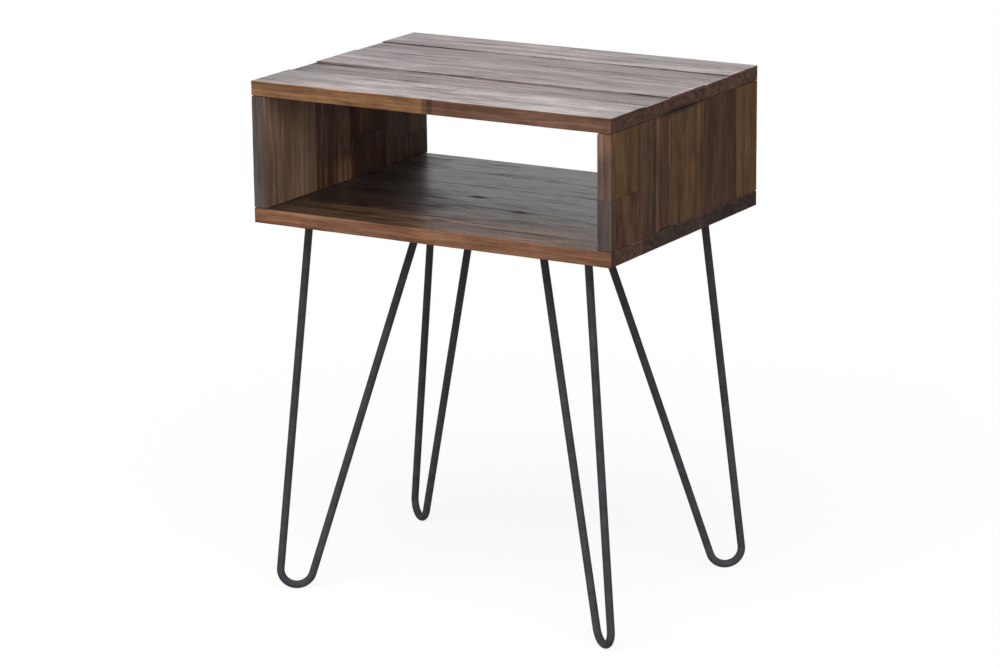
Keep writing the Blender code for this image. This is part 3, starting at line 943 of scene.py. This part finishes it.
def black_coat():
    finish, tree, shader, place = new_finish("black_coat")
    cover = spread(tree, clouds(tree, place, COAT_CLOUDS, CLOUD_DETAIL), *NOISE_SPAN)
    ripple = clouds(tree, place, COAT_RIPPLES, RIPPLE_DETAIL)
    tree.links.new(blend_colours(tree, cover, COAT_BLACK, COAT_GREY), shader.inputs["Base Color"])
    tree.links.new(spread(tree, ripple, *NOISE_SPAN, *COAT_ROUGHNESS), shader.inputs["Roughness"])
    shader.inputs["Specular IOR Level"].default_value = COAT_GLOSS
    add_relief(tree, shader, ripple, RIPPLE_STRENGTH, RIPPLE_DEPTH)
    return finish


COAT = black_coat()
print(COAT.name, "ready")

# %% [markdown]
# ## Bent rod legs
# Each leg is one length of rod, bent once round a former into a narrow U that stands on its bend, with
# its two ends cut level and welded under a plate. A curve with a bevel would do for the rod, but its
# ends would be square to the rod. Here a circle is spun round the bend and its two open ends are
# extruded up to the plate, where the last steps swell into the weld.

# %% Sizes of a leg
ROD_RADIUS = 0.005
ROD_TOP_REACH = 0.0697
BEND_RADIUS = 0.021
BEND_REACH = 0.1007
ROD_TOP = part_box("front_left_leg_rod")[1].z


def touching_angle(reach, bend_centre, side):
    """Angle round the bend where the straight from the rod's top touches it."""
    away = Vector((reach, 0.0, ROD_TOP)) - bend_centre
    return math.atan2(away.z, away.x) - side * math.acos(BEND_RADIUS / away.length)


print(f"the ends of a rod are {2 * ROD_TOP_REACH * MILLIMETRES:.1f} mm apart")

# %% Draw the rod up to its weld
WELD_SIZE = 0.0025
WELD_RIPPLES = 7
WELD_RIPPLE = 0.09


def draw_up(shape, ring, angle, height, swell):
    """Extrudes a ring of edges along the straight rod until it lies level at the height."""
    along = Vector((-math.sin(angle), 0.0, math.cos(angle)))
    made = bmesh.ops.extrude_edge_only(shape, edges=ring)["geom"]
    points = [item for item in made if isinstance(item, bmesh.types.BMVert)]
    for point in points:
        point.co += along * ((height - point.co.z) / along.z)
    middle = sum((point.co for point in points), Vector()) / len(points)
    for point in points:
        out = point.co - middle
        ripple = 1.0 + WELD_RIPPLE * math.sin(WELD_RIPPLES * math.atan2(out.y, out.x)) * bool(swell)
        point.co = middle + out.normalized() * (out.length + WELD_SIZE * swell * ripple)
    return [item for item in made if isinstance(item, bmesh.types.BMEdge)]


print(f"a weld stands out by {WELD_SIZE * MILLIMETRES:.1f} mm")

# %% Bend the rod
# Distance below the plate and swell of each step up to the weld, both in sizes of the weld.
WELD_STEPS = ((1.6, 0.0), (1.15, 0.35), (0.75, 0.75), (0.35, 0.98), (0.0, 1.0))
ROD_SIDES = 32
BEND_STEPS = 28
MERGE_REACH = 0.000001


def bent_rod(outwards, aside):
    """A rod in the plane of its leg, with its foot moved outwards and aside."""
    shape = bmesh.new()
    centre = Vector((BEND_REACH + outwards, 0.0, BEND_RADIUS + ROD_RADIUS))
    inner_angle = touching_angle(-ROD_TOP_REACH, centre, -1) - math.tau
    outer_angle = touching_angle(ROD_TOP_REACH, centre, 1)
    outward = Vector((math.cos(inner_angle), 0.0, math.sin(inner_angle)))
    start = Matrix.Translation(centre + BEND_RADIUS * outward) @ Matrix.Rotation(-inner_angle, 4, "Y")
    bmesh.ops.create_circle(shape, segments=ROD_SIDES, radius=ROD_RADIUS, matrix=start)
    inner_ring = shape.edges[:]
    swept = bmesh.ops.spin(
        shape, geom=shape.verts[:] + shape.edges[:], cent=centre, axis=(0.0, -1.0, 0.0),
        angle=(outer_angle - inner_angle) % math.tau, steps=BEND_STEPS, use_merge=False,
    )["geom_last"]
    outer_ring = [item for item in swept if isinstance(item, bmesh.types.BMEdge)]
    for ring, angle in ((inner_ring, inner_angle), (outer_ring, outer_angle)):
        for below, swell in WELD_STEPS:
            ring = draw_up(shape, ring, angle, ROD_TOP - WELD_SIZE * below, swell)
        bmesh.ops.contextual_create(shape, geom=ring)
    bmesh.ops.remove_doubles(shape, verts=shape.verts[:], dist=MERGE_REACH)
    bmesh.ops.recalc_face_normals(shape, faces=shape.faces[:])
    for point in shape.verts:
        point.co.y += aside * (ROD_TOP - point.co.z) / ROD_TOP
    return shape


print(f"a bend has {BEND_STEPS} steps of {ROD_SIDES} faces")

# %% Stand the four legs under the corners
PLATE_SIDE_INSET = 0.1108
PLATE_FRONT_INSET = 0.0826
LEG_TURN = math.radians(35.8)
SMOOTH_ANGLE = math.radians(40)
# Which way the corner lies, across and back, and how far the foot was bent outwards and aside.
LEGS = {
    "front_left": (-1, -1, -0.0044, 0.0014),
    "front_right": (1, -1, 0.0070, 0.0010),
    "back_left": (-1, 1, -0.0038, 0.0162),
    "back_right": (1, 1, 0.0013, 0.0072),
}


def leg_place(across, back):
    """Moves and turns a leg from the origin to its corner."""
    turn = math.atan2(back * math.sin(LEG_TURN), across * math.cos(LEG_TURN))
    inset = (across * (HALF_WIDTH - PLATE_SIDE_INSET), back * (HALF_DEPTH - PLATE_FRONT_INSET), 0.0)
    return Matrix.Translation(inset) @ Matrix.Rotation(turn, 4, "Z")


for leg, (across, back, outwards, aside) in LEGS.items():
    shape = bent_rod(outwards, aside)
    bmesh.ops.transform(shape, matrix=leg_place(across, back), verts=shape.verts[:])
    rod = add_piece(f"{leg}_bent_rod", shape, "leg_steel", f"{leg}_leg_rod")
    rod.data.set_sharp_from_angle(angle=SMOOTH_ANGLE)
    dress(rod, COAT)
print(len(LEGS), "legs stand on the floor")

# %% [markdown]
# ## Plates and screws
# Under each corner lies a flat plate with round ends, which carries the leg, and three countersunk
# screws hold it. A circle whose halves are pulled apart gives the plate's outline. The countersinks and
# the cross in a screw's head are cut out with Boolean modifiers, as a drill and a punch would do it.
# One screw is made and repeated, because screws are all alike: only the turn of the cross differs.

# %% Cutting tools
def spun(profile, steps):
    """Closed round body from a half section of (radius, height) points."""
    shape = bmesh.new()
    points = [shape.verts.new((radius, 0.0, height)) for radius, height in profile]
    chain = [shape.edges.new(pair) for pair in zip(points, points[1:])]
    bmesh.ops.spin(
        shape, geom=points + chain, cent=(0.0, 0.0, 0.0), axis=(0.0, 0.0, 1.0),
        angle=math.tau, steps=steps, use_merge=True,
    )
    bmesh.ops.remove_doubles(shape, verts=shape.verts[:], dist=MERGE_REACH)
    bmesh.ops.recalc_face_normals(shape, faces=shape.faces[:])
    return shape


def cut_out(piece, cutters):
    """Takes the cutters away from the piece, and out of the scene."""
    for cutter in cutters:
        cut = piece.modifiers.new(cutter.name, "BOOLEAN")
        cut.operation = "DIFFERENCE"
        cut.object = cutter
    keep_modifiers(piece)
    for cutter in cutters:
        bpy.data.objects.remove(cutter)


print("cutting tools ready")

# %% The blank plate
PLATE_WIDTH = 0.032
PLATE_THICKNESS = 0.003
PLATE_EASE = 0.0004
PLATE_EASE_STEPS = 2
PLATE_SIDES = 64


def blank_plate():
    shape = bmesh.new()
    half_step = Matrix.Rotation(math.pi / PLATE_SIDES, 4, "Z")
    bmesh.ops.create_circle(
        shape, cap_ends=True, segments=PLATE_SIDES, radius=PLATE_WIDTH / 2, matrix=half_step,
    )
    for point in shape.verts:
        point.co.x += math.copysign(ROD_TOP_REACH, point.co.x)
    raised = bmesh.ops.extrude_face_region(shape, geom=shape.faces[:])["geom"]
    lifted = [item for item in raised if isinstance(item, bmesh.types.BMVert)]
    bmesh.ops.translate(shape, verts=lifted, vec=(0.0, 0.0, PLATE_THICKNESS))
    bmesh.ops.recalc_face_normals(shape, faces=shape.faces[:])
    arrises = [edge for edge in shape.edges if edge.calc_face_angle() > SHARP_TURN]
    bmesh.ops.bevel(
        shape, geom=arrises, offset=PLATE_EASE, segments=PLATE_EASE_STEPS, profile=0.5,
        affect="EDGES", material=-1,
    )
    return shape


drilled = add_object("drilled_plate", blank_plate())
print("a blank plate has", len(drilled.data.polygons), "faces")

# %% Drill the plate
SCREW_SPACING = 0.042
SCREW_OFFSETS = (-SCREW_SPACING, 0.0, SCREW_SPACING)
SCREW_HEAD = 0.004
SCREW_SHANK = 0.002
SEAT_GAP = 0.0003
ROUND_STEPS = 32


def countersink(offset):
    """Drill for a screw: a clear hole, with a cone for the head."""
    head = SCREW_HEAD + SEAT_GAP
    shank = SCREW_SHANK + SEAT_GAP
    above = 2 * PLATE_THICKNESS
    profile = (
        (0.0, above), (shank, above), (shank, head - shank),
        (head, 0.0), (head, -SEAT_GAP), (0.0, -SEAT_GAP),
    )
    shape = spun(profile, ROUND_STEPS)
    bmesh.ops.translate(shape, verts=shape.verts[:], vec=(offset, 0.0, 0.0))
    return add_object("countersink", shape)


cut_out(drilled, [countersink(offset) for offset in SCREW_OFFSETS])
print("a drilled plate has", len(drilled.data.polygons), "faces")

# %% Screws
SCREW_LENGTH = 0.016
SCREW_POINT = 0.004
HEAD_RIM = 0.0003
CROSS_REACH = 0.0025
CROSS_WIDTH = 0.0010
CROSS_DEPTH = 0.0014
TIP_REACH = 0.45
TIP_WIDTH = 0.7


def cross_bar(turn):
    """Tapered blade of the punch, narrower at its tip."""
    shape = bmesh.new()
    size = Vector((2 * CROSS_REACH, CROSS_WIDTH, 2 * CROSS_DEPTH))
    bmesh.ops.create_cube(shape, size=1.0, matrix=Matrix.LocRotScale(None, None, size))
    for point in shape.verts:
        if point.co.z > 0.0:
            point.co.x *= TIP_REACH
            point.co.y *= TIP_WIDTH
    bmesh.ops.transform(shape, matrix=Matrix.Rotation(turn, 4, "Z"), verts=shape.verts[:])
    return add_object("cross_bar", shape)


SCREW_PROFILE = (
    (0.0, SCREW_LENGTH), (SCREW_SHANK, SCREW_LENGTH - SCREW_POINT), (SCREW_SHANK, SCREW_HEAD - SCREW_SHANK),
    (SCREW_HEAD, HEAD_RIM), (SCREW_HEAD - HEAD_RIM / 2, 0.0), (0.0, 0.0),
)
punched = add_object("punched_screw", spun(SCREW_PROFILE, ROUND_STEPS))
cut_out(punched, [cross_bar(0.0), cross_bar(math.pi / 2)])
print("a screw has", len(punched.data.polygons), "faces")

# %% Zinc
ZINC_DARK = (0.36, 0.36, 0.35, 1.0)
ZINC_PALE = (0.55, 0.54, 0.51, 1.0)
ZINC_CLOUDS = 500.0
ZINC_ROUGHNESS = (0.28, 0.46)


def zinc_plating():
    finish, tree, shader, place = new_finish("zinc_plating")
    cloud = clouds(tree, place, ZINC_CLOUDS, CLOUD_DETAIL)
    cover = spread(tree, cloud, *NOISE_SPAN)
    tree.links.new(blend_colours(tree, cover, ZINC_DARK, ZINC_PALE), shader.inputs["Base Color"])
    tree.links.new(spread(tree, cloud, *NOISE_SPAN, *ZINC_ROUGHNESS), shader.inputs["Roughness"])
    shader.inputs["Metallic"].default_value = 1.0
    return finish


ZINC = zinc_plating()
print(ZINC.name, "ready")

# %% Screw the plates on
SCREW_TURN = math.radians(37)
PLATE_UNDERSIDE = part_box("front_left_leg_plate")[0].z


def repeat(pattern, name, place, slot, finish, node):
    """Copy of a finished pattern, moved to its place."""
    shape = bmesh.new()
    shape.from_mesh(pattern.data)
    bmesh.ops.remove_doubles(shape, verts=shape.verts[:], dist=MERGE_REACH)
    bmesh.ops.transform(shape, matrix=place, verts=shape.verts[:])
    piece = add_piece(name, shape, slot, node)
    piece.data.set_sharp_from_angle(angle=SMOOTH_ANGLE)
    dress(piece, finish)


for leg, (across, back, _, _) in LEGS.items():
    under = leg_place(across, back) @ Matrix.Translation((0.0, 0.0, PLATE_UNDERSIDE))
    repeat(drilled, f"{leg}_drilled_plate", under, "leg_steel", COAT, f"{leg}_leg_plate")
    for number, offset in enumerate(SCREW_OFFSETS, start=1):
        turn = Matrix.Rotation(number * SCREW_TURN, 4, "Z")
        place = under @ Matrix.Translation((offset, 0.0, 0.0)) @ turn
        node = f"{leg}_leg_screw_{number}"
        repeat(punched, f"{leg}_cross_screw_{number}", place, "screw_steel", ZINC, node)
for pattern in (drilled, punched):
    bpy.data.objects.remove(pattern)
print(len(LEGS), "plates with", len(SCREW_OFFSETS), "screws each")

# %% [markdown]
# ## Dowels
# Pale dowels pin the sides to the top and the bottom. They are out of sight in their holes, so the solid
# shapes are kept and only take a finish: the same wood as the staves, with no lacquer.

# %% Raw beech
TONES["raw_beech"] = ((0.47, 0.33, 0.20), 0.2, 0.3)
BEECH_RINGS = 0.003
BEECH_SHIFT = 5.0

BEECH = stave_wood("dowel", "upright", ("raw_beech",) * 3, Vector(), Vector(), BEECH_RINGS, BEECH_SHIFT)
dowels = [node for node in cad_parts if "_dowel_" in node]
for node in dowels:
    bpy.data.objects[node].material_slots[0].material = BEECH
print(len(dowels), "dowels finished")

# %% [markdown]
# ## Floor and light
# The photograph is lit softly on white, from the front, a little from the right, and above. A broad sun
# lamp stands in for the lamp and its diffuser, because it lights the whole floor evenly. It is left out
# of reflections, where a real diffuser would not show as a disc. The floor and the world show as white
# to the camera and in reflections, while a weaker world fills the shadows. The floor is open from below,
# so that the underside can be looked at too.

# %% Helpers for the white studio
WHITE = (1.0, 1.0, 1.0, 1.0)


def seen_directly(tree):
    """1 for rays that show the background: straight from the camera, mirrored or let through."""
    path = tree.nodes.new("ShaderNodeLightPath").outputs
    mirrored = work_out(tree, "MAXIMUM", path["Is Glossy Ray"], path["Is Transmission Ray"])
    return work_out(tree, "MAXIMUM", path["Is Camera Ray"], mirrored)


def blend_shaders(tree, share, first, second):
    step = tree.nodes.new("ShaderNodeMixShader")
    for socket, value in zip(step.inputs, (share, first, second)):
        tree.links.new(value, socket)
    return step.outputs[0]


print("helpers for the studio ready")

# %% White floor
FLOOR_REACH = 14.0
FLOOR_PALE = (0.55, 0.55, 0.55, 1.0)
FLOOR_WHITE = 1.2
FLOOR_WHITE_SHARE = 0.72


def white_floor():
    finish = bpy.data.materials.new("white_floor")
    finish.use_nodes = True
    tree = finish.node_tree
    tree.nodes.remove(tree.nodes["Principled BSDF"])
    matt = tree.nodes.new("ShaderNodeBsdfDiffuse")
    matt.inputs["Color"].default_value = FLOOR_PALE
    glow = tree.nodes.new("ShaderNodeEmission")
    glow.inputs["Color"].default_value = WHITE
    glow.inputs["Strength"].default_value = FLOOR_WHITE
    white_share = work_out(tree, "MULTIPLY", seen_directly(tree), FLOOR_WHITE_SHARE)
    upper_face = blend_shaders(tree, white_share, matt.outputs[0], glow.outputs[0])
    is_below = tree.nodes.new("ShaderNodeNewGeometry").outputs["Backfacing"]
    clear = tree.nodes.new("ShaderNodeBsdfTransparent").outputs[0]
    surface = blend_shaders(tree, is_below, upper_face, clear)
    tree.links.new(surface, tree.nodes["Material Output"].inputs["Surface"])
    return finish


sheet = bmesh.new()
bmesh.ops.create_grid(sheet, x_segments=1, y_segments=1, size=FLOOR_REACH)
floor = add_object("floor", sheet)
dress(floor, white_floor())
print(f"floor {2 * FLOOR_REACH:.0f} m across")

# %% Soft light
FILL_LIGHT = 0.13
SUN_POWER = 3.4
SUN_SOFTNESS = math.radians(75)
SUN_HEIGHT = math.radians(45)
SUN_SWING = math.radians(20)

world = bpy.data.worlds.new("studio")
bpy.context.scene.world = world
world.use_nodes = True
backdrop = world.node_tree.nodes["Background"]
backdrop.inputs["Color"].default_value = WHITE
brightness = spread(world.node_tree, seen_directly(world.node_tree), 0.0, 1.0, FILL_LIGHT, 1.0)
world.node_tree.links.new(brightness, backdrop.inputs["Strength"])

lamp = bpy.data.lights.new("soft_sun", "SUN")
lamp.energy = SUN_POWER
lamp.angle = SUN_SOFTNESS
sun = bpy.data.objects.new("soft_sun", lamp)
bpy.context.collection.objects.link(sun)
sun.visible_glossy = False
from_front = Matrix.Rotation(math.pi / 2 - SUN_HEIGHT, 4, "X")
sun.matrix_world = Matrix.Rotation(SUN_SWING, 4, "Z") @ from_front
bpy.context.scene.view_settings.view_transform = "Standard"
print(f"sun {math.degrees(SUN_HEIGHT):.0f} degrees up and {math.degrees(SUN_SWING):.0f} to the right")
